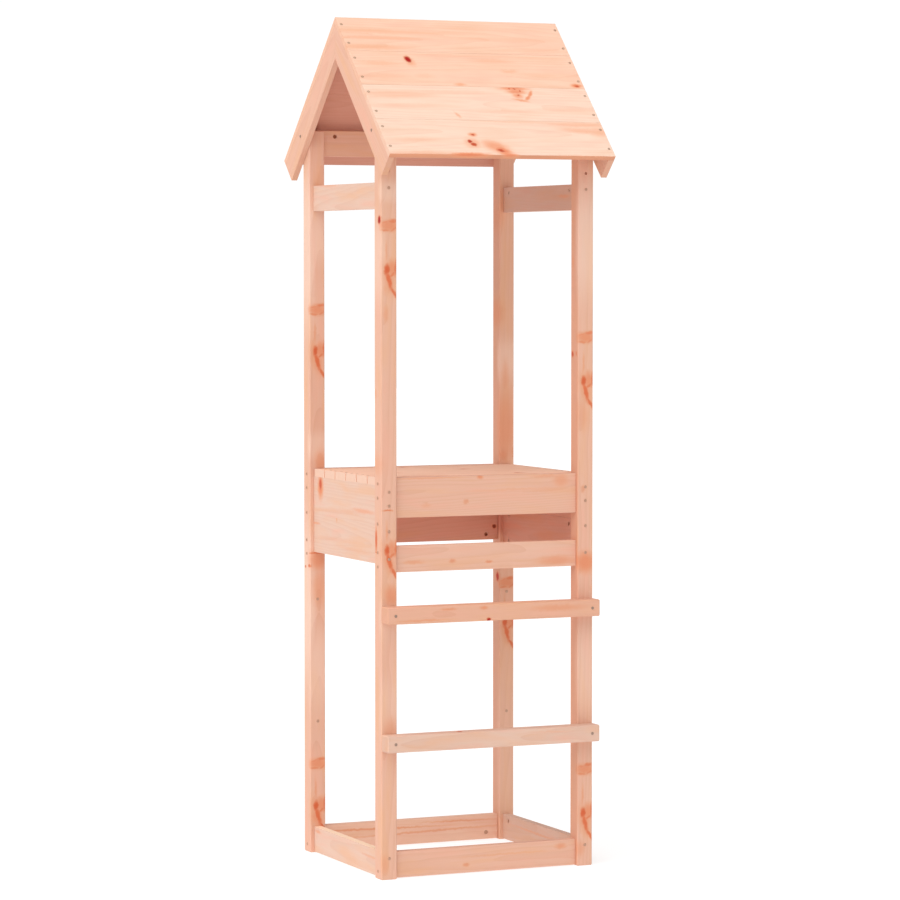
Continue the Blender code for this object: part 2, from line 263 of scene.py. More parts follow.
# Where the upper faces of the two slopes would meet, before their edges were eased
RIDGE_HEIGHT = 1.9379
FACE_TURNS = {
    "front": Matrix.Identity(3),
    "back": Matrix.Identity(3),
    "left": Matrix.Rotation(math.pi / 2, 3, "Z").transposed(),
    "right": Matrix.Rotation(math.pi / 2, 3, "Z").transposed(),
    "top": Matrix.Rotation(-math.pi / 2, 3, "X"),
    "roof": Matrix.Rotation(-math.pi / 4, 3, "X"),
    "back_roof": Matrix.Rotation(math.pi / 4, 3, "X"),
}


def mark_place(node, face, across, up):
    """A mark's centre in metres. On the roof, up is the distance down the slope from the ridge."""
    low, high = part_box(node)
    if face in ("front", "back"):
        return Vector((across * MM, low.y if face == "front" else high.y, up * MM))
    if face in ("left", "right"):
        return Vector((low.x if face == "left" else high.x, across * MM, up * MM))
    if face == "top":
        return Vector((across * MM, up * MM, high.z))
    down = up * MM * SLOPE
    return Vector((across * MM, -down if face == "roof" else down, RIDGE_HEIGHT - down))


def round_knot(face, across, up, half, heart=0.5):
    """A branch cut across: a dark round knot in a faint, wider stain."""
    return [(face, across, up, half, half * 1.15, 0, 1.0, heart),
            (face, across + 0.4 * half, up - 0.5 * half, half * 2.2, half * 1.8, 0, 0.42, 0.0)]


def spike_knot(face, middle, up):
    """A branch cut along its length: a stained band across a post, with two darker edges."""
    return [(face, middle, up, 26, 13, 0, 0.56, 0.0),
            (face, middle + 8, up + 10, 13, 5.0, -6, 0.72, 0.06),
            (face, middle - 9, up + 7, 12, 3.6, -14, 0.60, 0.0),
            (face, middle - 8, up - 10, 13, 3.4, 2, 0.62, 0.04),
            (face, middle + 11, up - 7, 10, 3.2, -32, 0.62, 0.06)]


def resin_fork(face, left, up):
    """A forked resin streak: a thick knob, a long leg down to the right and an arm beside it."""
    return [(face, left, up, 7.5, 14, 4, 1.0, 0.22),
            (face, left + 5, up - 24, 6.4, 27, -15, 0.92, 0.12),
            (face, left + 16, up - 50, 4.0, 17, -30, 0.85, 0.14),
            (face, left + 21, up + 4, 4.4, 20, 4, 0.75, 0.08),
            (face, left + 13, up - 11, 3.6, 12, 52, 0.72, 0.08),
            (face, left + 12, up + 2, 12, 20, 0, 0.56, 0.0),
            (face, left + 3, up - 16, 15, 40, -10, 0.38, 0.0),
            (face, left - 1, up + 38, 3.0, 26, 0, 0.35, 0.0)]


MARKS = {
    "front_left_post": [
        ("left", -222.5, 1476, 8.5, 10, 0, 1.0, 1.0),
        *spike_knot("front", -243, 1463), *resin_fork("front", -248, 1366),
        ("front", -252, 1323, 6, 14, 0, 0.3, 0.0), ("front", -251, 1266, 7, 18, 0, 0.3, 0.0),
        ("left", -204, 762, 6, 27, 0, 0.9, 0.2), ("left", -206, 734, 12, 2, 0, 0.6, 0.15),
        ("front", -246, 829, 12, 1.8, 0, 0.7, 0.1), *resin_fork("front", -248, 740),
        ("front", -238, 640, 18, 22, 0, 0.45, 0.0), ("front", -240, 342, 18, 24, 0, 0.25, 0.0),
        ("front", -254, 34, 10, 24, 0, 0.3, 0.0), ("left", -213, 930, 22, 26, 0, 0.25, 0.0),
        ("front", -243, 380, 70, 90, 0, -0.12, 0.0), ("front", -243, 590, 70, 60, 0, -0.15, 0.0),
        ("left", -213, 1385, 70, 110, 0, -0.22, 0.0), ("front", -243, 1540, 70, 30, 0, -0.26, 0.0),
        *spike_knot("back", -243, 1090), *round_knot("back", -246, 420, 6.5)],
    "back_left_post": [
        ("left", 200, 674, 7, 4.5, 0, 0.85, 0.2), ("left", 222, 671, 4.5, 3.5, 0, 0.8, 0.4),
        *spike_knot("front", -243, 1272), *resin_fork("front", -248, 1176),
        ("front", -236, 922, 14, 24, 0, 0.35, 0.0), ("front", -243, 688, 26, 24, 0, 0.48, 0.0),
        ("front", -243, 704, 26, 3, 0, 0.8, 0.12), ("front", -240, 620, 20, 40, 0, 0.3, 0.0),
        *spike_knot("front", -243, 209), *resin_fork("front", -248, 110),
        ("front", -246, 85, 16, 20, 0, 0.45, 0.0),
        ("left", 213, 590, 70, 230, 0, -0.34, 0.0), ("left", 213, 1410, 70, 220, 0, -0.34, 0.0),
        ("front", -243, 430, 70, 120, 0, -0.22, 0.0), ("front", -243, 955, 70, 40, 0, -0.26, 0.0),
        ("front", -243, 1440, 70, 80, 0, -0.22, 0.0),
        *round_knot("back", -246, 1230, 6), ("back", -240, 330, 6, 30, 8, 0.8, 0.2)],
    "front_right_post": [
        ("left", -204, 1173, 6.5, 7, 0, 0.95, 0.5), ("left", -223, 1174, 3, 6, 0, 0.6, 0.1),
        ("left", -205, 1383, 5, 16, 0, 0.3, 0.0),
        *spike_knot("front", 244, 1211), *resin_fork("front", 239, 1112),
        ("front", 244, 698, 28, 24, 0, 0.60, 0.0), ("front", 244, 712, 26, 4, 0, 0.45, 0.0),
        ("front", 236, 1035, 16, 40, 0, 0.25, 0.0),
        *spike_knot("front", 244, 222), *resin_fork("front", 239, 122),
        ("front", 232, 40, 12, 18, 0, 0.30, 0.0), ("front", 238, 866, 5, 9, 0, 0.3, 0.05),
        # The pale patch at 460 mm is painted light: it lifts the shade below the upper step
        ("front", 244, 460, 70, 110, 0, -0.15, 0.0), ("front", 244, 1430, 70, 150, 0, -0.27, 0.0),
        *round_knot("right", -214, 1290, 6), ("right", -213, 640, 18, 10, 0, 0.6, 0.1),
        ("right", -216, 190, 5, 30, -8, 0.8, 0.2)],
    "back_right_post": [
        ("left", 205, 632, 9, 12, 0, 1.0, 0.8), *spike_knot("front", 244, 617),
        # Painted shade: this dark heart without a stain darkens and reddens the face below the deck
        ("front", 236, 772, 44, 44, 0, 0.0, 0.36),
        *resin_fork("front", 239, 522), ("front", 240, 1110, 10, 40, 0, 0.3, 0.0),
        ("front", 240, 990, 26, 90, 0, 0.40, 0.0), ("front", 236, 925, 14, 18, 0, 0.4, 0.05),
        ("left", 213, 1262, 26, 36, 0, 0.35, 0.05), ("left", 208, 1495, 26, 40, 0, 0.25, 0.0),
        # Both pale patches here are painted light: they lift the shade on the post's front face
        ("front", 244, 230, 70, 260, 0, -0.08, 0.0), ("front", 244, 1150, 70, 60, 0, -0.26, 0.0),
        *round_knot("right", 213, 1476, 7, 0.7), *spike_knot("right", 213, 930),
        ("right", 208, 836, 5, 26, -12, 0.9, 0.2), *spike_knot("back", 244, 410),
        ("back", 239, 322, 5, 24, 14, 0.9, 0.2)],
    "left_upper_board": [
        ("left", 153, 862, 16, 28, 0, 0.72, 0.0), ("left", 153, 868, 9, 15, 0, 1.0, 0.42),
        ("left", -98, 820, 66, 5, 1, 0.3, 0.0), ("left", 20, 812, 150, 7, -2, 0.16, 0.0)],
    "left_lower_board": [
        ("left", 178, 775, 24, 3, 0, 0.4, 0.0), ("left", 54, 792, 3, 8, 0, 0.3, 0.05),
        ("left", 60, 745, 120, 6, -1, 0.16, 0.0), ("left", -60, 728, 110, 6, 1, 0.16, 0.0)],
    "left_collar": [("left", 120, 1560, 60, 4, 1, 0.25, 0.0)],
    "right_upper_board": [
        *round_knot("right", -110, 860, 7), ("right", 60, 848, 90, 4, 1, 0.4, 0.0)],
    "right_lower_board": [
        *round_knot("right", 95, 752, 6, 0.4), ("right", -40, 742, 120, 4, -1, 0.35, 0.0)],
    "right_collar": [
        ("left", -135, 1534, 30, 4, 0, 0.35, 0.0), *round_knot("right", 70, 1545, 6)],
    "front_upper_board": [
        ("front", -16, 898, 8, 4, 0, 0.6, 0.0), ("front", 186, 886, 20, 17, 0, 0.34, 0.0),
        ("front", 150, 897, 40, 4, 0, 0.30, 0.0),
        ("front", 150, 866, 60, 6, 0, 0.20, 0.0),
        ("front", -51, 843.5, 7, 6, 0, 0.34, 0.05), ("front", -148, 838, 12, 6, 0, 0.22, 0.0),
        ("front", -150, 899, 90, 2.6, 0, 0.26, 0.0), ("front", 60, 868, 120, 3, -1, 0.2, 0.0)],
    "front_lower_board": [
        ("front", 175, 704, 48, 11, 0, 0.4, 0.0), ("front", 6, 706, 9, 3, 0, 0.5, 0.1),
        ("front", -84, 711, 8, 5, 0, 0.45, 0.05), ("front", -178, 711, 26, 4, 0, 0.35, 0.0)],
    "front_base_rail": [
        ("front", 187, 47, 14, 7, 0, 0.4, 0.0), ("front", -51, 20, 8, 4, 0, 0.4, 0.05),
        ("front", 60, 38, 130, 2.5, 0, 0.2, 0.0)],
    "back_base_rail": [
        ("front", -100, 44, 170, 2.6, 1, 0.5, 0.0), ("front", 40, 30, 200, 2.6, -1, 0.4, 0.0),
        ("front", 120, 50, 90, 2.2, 1, 0.4, 0.0), *round_knot("back", -80, 34, 6, 0.4)],
    "left_base_rail": [("left", 172, 52, 18, 4, 0, 0.4, 0.0), ("left", -150, 40, 60, 3, 2, 0.3, 0.0)],
    "right_base_rail": [*round_knot("right", 110, 36, 6, 0.4), ("left", 20, 40, 120, 3, 1, 0.3, 0.0)],
    "back_upper_board": [
        *round_knot("back", -130, 868, 8), ("back", 60, 850, 120, 4, 1, 0.4, 0.0),
        ("back", 165, 846, 8, 5, 0, 0.8, 0.3)],
    "back_lower_board": [
        ("front", 216, 752, 5.6, 4.8, 0, 1.0, 0.9), *round_knot("back", 20, 776, 7),
        ("back", -120, 748, 100, 4, -1, 0.4, 0.0)],
    "back_top_beam": [*round_knot("back", 90, 1680, 6)],
    "upper_step": [
        ("front", -15.6, 580, 5, 4, 0, 1.0, 0.95), ("front", -115, 607, 20, 3, 0, 0.4, 0.0),
        ("front", -28, 607, 9, 4, 0, 0.5, 0.0), ("front", 155, 600, 70, 7, 0, 0.3, 0.0),
        ("front", -180, 584, 60, 2.5, 0, 0.35, 0.0), ("top", 90, -252, 60, 4, 1, 0.3, 0.0)],
    "lower_step": [("top", -80, -252, 7, 6, 0, 0.9, 0.7), ("front", 140, 318, 60, 2.5, 1, 0.2, 0.0)],
    "deck_board_1": [("top", -120, -178, 90, 5, 1, 0.6, 0.0), *round_knot("top", 110, -150, 7, 0.4)],
    "deck_board_3": [*round_knot("top", -150, -36, 7, 0.4), ("top", 90, -50, 120, 4, 1, 0.35, 0.0)],
    "deck_board_4": [*round_knot("top", 60, 40, 7)],
    "deck_board_6": [*round_knot("top", -40, 168, 7, 0.4), ("top", 150, 160, 70, 4, -1, 0.4, 0.0)],
    "front_roof_board_1": [
        ("roof", -150, 45, 190, 9, 0, 0.26, 0.0), ("roof", -190, 67, 120, 7, 0, 0.30, 0.0),
        ("roof", -215, 99, 100, 9, 0, 0.30, 0.0), ("roof", 120, 62, 150, 8, 0, 0.18, 0.0),
        ("roof", 60, 28, 190, 6, 0, 0.14, 0.0), ("roof", 190, 96, 90, 7, 0, 0.16, 0.0)],
    "front_roof_board_2": [
        ("roof", -139.0, 138.0, 8.5, 12, -12, 1.0, 1.0), ("roof", -136, 146, 12, 15, -20, 0.45, 0.0),
        ("roof", -212, 153, 50, 8, 0, 0.26, 0.0), ("roof", 258, 215, 14, 7, 0, 0.85, 0.0),
        ("roof", 260, 216.5, 6, 3.4, 0, 1.0, 0.35), ("roof", -34, 218, 15, 6, 0, 0.45, 0.0),
        ("roof", 72, 137, 60, 9, 0, 0.24, 0.0),
        ("roof", 103, 172, 22, 7, 0, 0.25, 0.0), ("roof", -115, 193, 26, 8, 0, 0.18, 0.0),
        ("roof", -210, 196, 70, 10, 0, 0.16, 0.0), ("roof", 190, 180, 90, 8, 0, 0.16, 0.0),
        ("roof", 30, 122, 240, 5, 0, 0.16, 0.0)],
    "front_roof_board_3": [
        ("roof", 95, 229, 38, 7, 0, 0.70, 0.0), ("roof", 98, 239, 25, 9, 0, 0.70, 0.0),
        ("roof", 98, 252, 13, 10, 0, 0.64, 0.0), ("roof", 76, 228, 16, 5, 0, 0.60, 0.0),
        ("roof", 84, 229, 3.4, 3.4, 0, 1.0, 0.3), ("roof", 96, 230, 3.4, 3.4, 0, 1.0, 0.35),
        ("roof", 108, 236, 3.4, 3.4, 0, 1.0, 0.3), ("roof", 100, 250, 3.4, 3.4, 0, 1.0, 0.3),
        ("roof", 131, 246, 4.4, 14, 30, 0.74, 0.0), ("roof", 121, 259, 4.4, 14, 48, 0.74, 0.0),
        ("roof", 102, 268, 20, 4, 12, 0.58, 0.0),
        ("roof", -205, 256, 100, 12, 0, 0.28, 0.0), ("roof", -60, 246, 100, 7, 0, 0.20, 0.0),
        ("roof", -73, 320, 4, 11, -28, 0.42, 0.0), ("roof", 60, 306, 90, 6, 0, 0.20, 0.0),
        ("roof", -180, 292, 110, 8, 0, 0.20, 0.0), ("roof", 210, 300, 80, 9, 0, 0.16, 0.0)],
    "front_roof_board_4": [
        ("roof", -57, 384, 10, 6, 0, 0.78, 0.0), ("roof", -57, 385, 4, 3, 0, 1.0, 0.50),
        ("roof", -71, 406, 6.5, 6, 0, 1.0, 0.75),
        ("roof", -64, 416, 8, 6, 20, 1.0, 0.50), ("roof", -65, 411, 20, 17, 0, 0.45, 0.0),
        ("roof", -12, 422, 34, 18, 24, 0.60, 0.0), ("roof", 0, 434, 24, 12, 24, 0.80, 0.0),
        ("roof", -4, 435, 10, 5, 24, 1.0, 0.55), ("roof", 12, 447, 26, 6, 10, 0.72, 0.0),
        ("roof", -85, 449, 52, 7, 0, 0.80, 0.0),
        ("roof", 215, 346, 85, 9, 1, 0.34, 0.0), ("roof", 60, 338, 120, 7, 1, 0.22, 0.0),
        ("roof", 225, 366, 60, 9, 3, 0.36, 0.0), ("roof", 262, 368, 30, 17, 5, 0.34, 0.0),
        ("roof", -190, 448, 90, 9, 0, 0.30, 0.0), ("roof", 190, 452, 90, 6, 0, 0.30, 0.0),
        ("roof", -200, 404, 90, 9, 0, 0.20, 0.0)],
    "back_roof_board_1": [*round_knot("back_roof", 120, 60, 8, 0.7)],
    "back_roof_board_2": [
        *round_knot("back_roof", -160, 176, 7), ("back_roof", 60, 150, 160, 3, 1, 0.4, 0.0)],
    "back_roof_board_3": [
        *round_knot("back_roof", 190, 276, 6, 0.3), ("back_roof", -40, 300, 180, 4, -1, 0.4, 0.0)],
    "back_roof_board_4": [
        *round_knot("back_roof", 30, 396, 8), ("back_roof", -190, 410, 60, 7, 2, 0.5, 0.0)],
}
print("marks:", sum(map(len, MARKS.values())), "most on a board:", max(map(len, MARKS.values())))


# %% [markdown]
# ## The softwood material
#
# Planed softwood is dull: light sinks a little way in and comes back soft, so the roughness is
# high and the gloss faint. Its fibres stand up in fine ridges behind the planer knives, and that
# is all the bump it needs. The end grain drinks light, so it is a shade darker than the faces.

# %% Softwood
# Millimetres from ring to ring, how sharp a ring's late wood is, and how strongly it shows
RING_WIDTH = 4.6
LATE_SHARPNESS = 2.6
LATE_SHARE = 0.35
# Metres by which the grain wanders, and by which a knot pushes it aside
GRAIN_WANDER = 0.007
WANDER_SCALE = (2.2, 9.0, 9.0)
SWIRL = 0.008
# The outline of a mark wobbles by up to half this reach, in metres
WOBBLE_SCALE, WOBBLE_REACH = 110.0, 0.006
FIBRE_SCALE = (14.0, 900.0, 900.0)
FIBRE_SHARE = 0.16
FIBRE_BUMP, FIBRE_HEIGHT = 0.3, 0.0002
END_GRAIN_SHARE = 0.3
EARLY_ROUGHNESS, LATE_ROUGHNESS = 0.68, 0.56
WOOD_IOR, WOOD_SPECULAR = 1.5, 0.35
# A face counts as looking in a direction from the first cosine on, and in full at the second
FACING_START, FACING_FULL = 0.6, 0.95
# Patches about 16 cm long and 3 cm wide
PATCH_SCALE = (6.0, 36.0, 36.0)
PATCH_SHARE = {"pale": 0.55, "rosy": 0.60, "warm": 0.55, "light": 0.45, "bright": 0.30,
               "cream": 0.26, "blush": 0.50, "sunny": 0.40}
# Faces drawn towards another tone: direction, hue and share. Most of these are painted shade and
# light. The heartwood hue darkens and reddens the inner faces of the right posts and of the back
# base rail and the downward eave face of the lowest front roof board: painted shade, partly
# heartwood. The russet hue is painted shade on the inner faces of the back right post, the right
# base rail and the right collar. The pale warm hue on the top of the left base rail is painted
# light. The front face of the back right post is drawn towards honey.
HEARTWOOD_AND_SHADE = "#D38E6C"
SHADE_RUSSET = "#B9806A"
PAINTED_TOP_LIGHT = "#FFE0C0"
FACE_TONES = {
    "front_right_post": [((-1, 0, 0), HEARTWOOD_AND_SHADE, 0.52)],
    "back_right_post": [((-1, 0, 0), HEARTWOOD_AND_SHADE, 0.42), ((-1, 0, 0), SHADE_RUSSET, 0.25),
                        ((0, -1, 0), HONEY, 0.22)],
    "front_roof_board_4": [((0, -SLOPE, -SLOPE), HEARTWOOD_AND_SHADE, 0.95)],
    # Painted light: the top of the left base rail is lightened
    "left_base_rail": [((0, 0, 1), PAINTED_TOP_LIGHT, 0.70)],
    "right_base_rail": [((-1, 0, 0), SHADE_RUSSET, 0.27)],
    "back_base_rail": [((0, -1, 0), HEARTWOOD_AND_SHADE, 0.18)],
    "right_collar": [((-1, 0, 0), SHADE_RUSSET, 0.45)],
}
# The deck's ends were sanded flush with the side panels, and are as pale as those
SANDED_END = "#E2BFAB"
for number in range(1, 7):
    FACE_TONES[f"deck_board_{number}"] = [((-1, 0, 0), SANDED_END, 0.7),
                                          ((1, 0, 0), SANDED_END, 0.7)]
# Painted shade: faces in the tower's own shade are darkened and reddened in their colour, as their
# light comes from wood: direction and filter
SHADED_FACES = {
    "back_roof_board": ((0, -SLOPE, -SLOPE), "#DCC0BE"),
    "front_top_beam": ((0, -1, 0), "#EDD9D8"),
    "back_lower_board": ((0, -1, 0), "#EDD9D8"),
    "right_lower_board": ((-1, 0, 0), "#F0CDC5"),
    "right_upper_board": ((-1, 0, 0), "#F0CDC5"),
}


def mark_masks(tree, place, node, marks):
    """How far the stain, the sapwood and the dark heart of all a board's marks reach, 0 to 1; three
    pale marks are painted light and one dark heart is painted shade.
    """
    wobble = add(tree, "ShaderNodeTexNoise", {"Vector": place, "Scale": WOBBLE_SCALE,
                                              "Detail": 2.0})
    offset = add(tree, "ShaderNodeVectorMath", {0: wobble.outputs["Color"], 1: (0.5,) * 3},
                 operation="SUBTRACT")
    near = add(tree, "ShaderNodeVectorMath", {0: offset.outputs[0], 1: (WOBBLE_REACH,) * 3,
                                              2: place}, operation="MULTIPLY_ADD").outputs[0]
    masks = {}
    for face, across, up, half_across, half_up, lean, stained, dark in marks:
        turn = FACE_TURNS[face] @ Matrix.Rotation(math.radians(lean), 3, "Y")
        depth = max(MARK_DEPTH, min(half_across, half_up, MOST_DEPTH))
        unit = add(tree, "ShaderNodeMapping", {
            "Vector": near, "Location": mark_place(node, face, across, up),
            "Rotation": turn.to_euler(),
            "Scale": (half_across * MM, depth * MM, half_up * MM)}, vector_type="TEXTURE")
        distance = add(tree, "ShaderNodeVectorMath", {0: unit.outputs[0]}, operation="LENGTH")
        for target, strength, (core, rim) in (("stain", stained, (0.25, 1.6)),
                                              ("sapwood", -stained, (0.3, 1.2)),
                                              ("heart", dark, (0.45, 1.2))):
            if strength <= 0:
                continue
            mask = add(tree, "ShaderNodeMapRange", {
                "Value": distance.outputs["Value"], "From Min": core, "From Max": rim,
                "To Min": strength, "To Max": 0.0}, interpolation_type="SMOOTHSTEP").outputs[0]
            if target in masks:
                mask = add(tree, "ShaderNodeMath", {0: masks[target], 1: mask},
                           operation="MAXIMUM").outputs[0]
            masks[target] = mask
    return masks


def tinted(tree, colour, share, hue, blend="MIX"):
    """A colour drawn towards a hue, by a share that varies over the surface."""
    return add(tree, "ShaderNodeMix", {0: share, 6: colour, 7: linear(hue)},
               data_type="RGBA", blend_type=blend).outputs[2]


def facing(tree, normal, direction, most):
    """The share, up to the most given, by which a face looks in a direction."""
    towards = add(tree, "ShaderNodeVectorMath", {0: normal, 1: direction},
                  operation="DOT_PRODUCT").outputs["Value"]
    return add(tree, "ShaderNodeMapRange", {
        "Value": towards, "From Min": FACING_START, "From Max": FACING_FULL,
        "To Max": most}).outputs[0]


def softwood(node, axes, tint, draw, marks=()):
    """Planed, untreated softwood for one board, cut from its own place in the trunk."""
    low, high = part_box(node)
    pale, deep = (linear(colour) for colour in TINTS[tint])
    material, tree, shader = new_material(f"planed_softwood_{node}")
    place = add(tree, "ShaderNodeTexCoord").outputs["Object"]
    board = add(tree, "ShaderNodeMapping", {
        "Vector": place, "Location": (low + high) / 2, "Rotation": axes.to_euler()},
        vector_type="TEXTURE").outputs[0]
    masks = mark_masks(tree, place, node, marks) if marks else {}

    # The grain wanders slowly along the board, and is pushed aside by knots
    shift = [draw.uniform(-4.0, 4.0) for _ in range(3)]
    slow = add(tree, "ShaderNodeMapping", {"Vector": board, "Location": shift,
                                           "Scale": WANDER_SCALE})
    wander = add(tree, "ShaderNodeTexNoise", {"Vector": slow.outputs[0], "Scale": 1.0,
                                              "Detail": 2.0})
    centred = add(tree, "ShaderNodeVectorMath", {0: wander.outputs["Color"], 1: (0.5,) * 3},
                  operation="SUBTRACT")
    wavy = add(tree, "ShaderNodeVectorMath", {0: centred.outputs[0], 1: (2 * GRAIN_WANDER,) * 3,
                                              2: board}, operation="MULTIPLY_ADD").outputs[0]
    bent = wavy
    if "stain" in masks:
        push = add(tree, "ShaderNodeMath", {0: masks["stain"], 1: SWIRL}, operation="MULTIPLY")
        sideways = add(tree, "ShaderNodeCombineXYZ", {"Y": push.outputs[0], "Z": push.outputs[0]})
        bent = add(tree, "ShaderNodeVectorMath", {0: wavy, 1: sideways.outputs[0]}).outputs[0]

    # Growth rings round a pith outside the board, whose line isn't quite along the board
    pith = (0.0, draw.uniform(-0.03, 0.03), draw.choice((-1, 1)) * draw.uniform(0.035, 0.08))
    tilt = (0.0, draw.uniform(-0.03, 0.03), draw.uniform(-0.03, 0.03))
    trunk = add(tree, "ShaderNodeMapping", {"Vector": bent, "Location": pith, "Rotation": tilt})
    rings = add(tree, "ShaderNodeTexWave", {
        "Vector": trunk.outputs[0], "Scale": math.pi / 10 / (RING_WIDTH * MM),
        "Distortion": 1.6, "Detail": 2.0, "Detail Scale": 0.12, "Detail Roughness": 0.5,
        "Phase Offset": draw.uniform(0.0, 6.0)},
        wave_type="RINGS", rings_direction="X", wave_profile="SAW").outputs["Fac"]
    late = add(tree, "ShaderNodeMath", {0: rings, 1: LATE_SHARPNESS},
               operation="POWER").outputs[0]

    # Fibres are a millimetre wide and some centimetres long, drawn coarse so that they show
    fine = add(tree, "ShaderNodeMapping", {"Vector": wavy, "Scale": FIBRE_SCALE})
    fibres = add(tree, "ShaderNodeTexNoise", {"Vector": fine.outputs[0], "Scale": 1.0,
                                              "Detail": 2.0, "Roughness": 0.6}).outputs["Fac"]
    wide = add(tree, "ShaderNodeMapping", {"Vector": bent, "Location": shift,
                                           "Scale": PATCH_SCALE})
    patches = add(tree, "ShaderNodeTexNoise", {"Vector": wide.outputs[0], "Scale": 1.0,
                                               "Detail": 3.0}).outputs["Fac"]

    # The pale wood takes the rings' tone, then the patches of honey and rose, then the fibres
    ring_share = add(tree, "ShaderNodeMath", {0: late, 1: LATE_SHARE},
                     operation="MULTIPLY").outputs[0]
    colour = add(tree, "ShaderNodeMix", {0: ring_share, 6: pale, 7: deep},
                 data_type="RGBA").outputs[2]
    for hue, start, full in ((HONEY, 0.50, 0.70), (ROSE, 0.48, 0.30)):
        share = add(tree, "ShaderNodeMapRange", {
            "Value": patches, "From Min": start, "From Max": full,
            "To Max": PATCH_SHARE[tint]}).outputs[0]
        colour = tinted(tree, colour, share, hue)
    fibre_share = add(tree, "ShaderNodeMapRange", {
        "Value": fibres, "From Min": 0.35, "From Max": 0.7, "To Max": FIBRE_SHARE}).outputs[0]
    colour = add(tree, "ShaderNodeMix", {0: fibre_share, 6: colour, 7: deep},
                 data_type="RGBA").outputs[2]

    # End grain shows where a face looks along the grain, and some boards have a face of another tone,
    # mostly painted shade and painted light
    normal = add(tree, "ShaderNodeNewGeometry").outputs["True Normal"]
    grain = axes.col[0]
    toned = [(grain, END_GRAIN, END_GRAIN_SHARE), (-grain, END_GRAIN, END_GRAIN_SHARE),
             *FACE_TONES.get(node, ())]
    for direction, hue, most in toned:
        colour = tinted(tree, colour, facing(tree, normal, direction, most), hue)

    # Sapwood is paler, and three pale marks on the right posts are painted light that lifts shade.
    # A weak stain is amber, a strong one turns to red resin, and a knot's heart is darker still;
    # one dark heart on the back right post is painted shade.
    if "sapwood" in masks:
        colour = tinted(tree, colour, masks["sapwood"], SAPWOOD_AND_LIGHT)
    if "stain" in masks:
        weak = add(tree, "ShaderNodeMath", {0: masks["stain"], 1: 1.15}, operation="MULTIPLY",
                   use_clamp=True).outputs[0]
        strong = add(tree, "ShaderNodeMath", {0: masks["stain"], 1: 1.6}, operation="POWER")
        amber = ROOF_AMBER if tint in ("bright", "cream") else AMBER
        colour = tinted(tree, colour, weak, amber)
        colour = tinted(tree, colour, strong.outputs[0], RESIN)
    if "heart" in masks:
        heart = DEAD_KNOT if node == "back_lower_board" else KNOT_AND_SHADE
        colour = tinted(tree, colour, masks["heart"], heart)

    # The painted shade of a shaded face lies over everything else
    for word, (direction, hue) in SHADED_FACES.items():
        if node.startswith(word):
            share = facing(tree, normal, direction, 1.0)
            colour = tinted(tree, colour, share, hue, "MULTIPLY")
    tree.links.new(colour, shader.inputs["Base Color"])

    gloss = add(tree, "ShaderNodeMapRange", {"Value": late, "To Min": EARLY_ROUGHNESS,
                                             "To Max": LATE_ROUGHNESS})
    tree.links.new(gloss.outputs[0], shader.inputs["Roughness"])
    shader.inputs["IOR"].default_value = WOOD_IOR
    shader.inputs["Specular IOR Level"].default_value = WOOD_SPECULAR
    bump = add(tree, "ShaderNodeBump", {"Height": fibres, "Strength": FIBRE_BUMP,
                                        "Distance": FIBRE_HEIGHT})
    tree.links.new(bump.outputs[0], shader.inputs["Normal"])
    return material


# %% [markdown]
# ## Dressing the boards
#
# Every board gets a material of its own, because two boards that share one pattern give a model
# away at once. The draws that place the pith and the grain come from one seeded list, so that
# the tower looks the same each time the script runs.

# %% Dress the boards
GROUPS = {
    "upright": ("_post",),
    "across": ("front_base_rail", "back_base_rail", "front_upper_board", "front_lower_board",
               "back_upper_board", "back_lower_board", "_top_beam", "_step"),
    "along": ("left_base_rail", "right_base_rail", "left_upper_board", "left_lower_board",
              "right_upper_board", "right_lower_board", "_collar"),
    "flat": ("deck_board",),
    "front_slope": ("front_roof_board",),
    "back_slope": ("back_roof_board",),
    "front_rafter": ("front_left_rafter", "front_right_rafter"),
    "back_rafter": ("back_left_rafter", "back_right_rafter"),
}
TINT_OF = {"front_roof_board_1": "bright", "front_roof_board_2": "bright",
           "front_roof_board": "cream", "back_roof_board": "bright", "upper_step": "warm",
           "deck_board": "sunny", "back_base_rail": "light", "front_lower": "blush",
           "front_": "rosy", "back_": "rosy"}
draw = random.Random(41)
for name in sorted(nodes):
    run = next(group for group, words in GROUPS.items() if any(word in name for word in words))
    tint = next((tint for word, tint in TINT_OF.items() if word in name), "pale")
    wood = softwood(name, AXES[run], tint, draw, MARKS.get(name, ()))
    nodes[name].data.materials.clear()
    nodes[name].data.materials.append(wood)
print("boards dressed:", len(nodes))

# %% [markdown]
# The side panels look almost seamless: their two boards and the deck's edge are glued, and the
# squeezed out glue was planed off with the faces. A thin strip of the panel's own wood in each
# joint, a hair below the face, gives that.

# %% Glued joints
JOINT_REACH, JOINT_DEPTH, JOINT_SUNK = 0.0004, 0.003, 0.00006


def glued_joint(shape, side, under, over):
    """Fill the joint between two pieces that lie on each other, on their outer face."""
    low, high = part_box(under)
    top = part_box(over)[0].z
    outer = (low.x + JOINT_SUNK) if side < 0 else (high.x - JOINT_SUNK)
    middle = Vector((outer - side * JOINT_DEPTH / 2, (low.y + high.y) / 2, (high.z + top) / 2))
    size = (JOINT_DEPTH, high.y - low.y - 2 * JOINT_REACH, top - high.z + 2 * JOINT_REACH)
    bmesh.ops.create_cube(shape, size=1.0,
                          matrix=Matrix.Translation(middle) @ Matrix.Diagonal((*size, 1)))


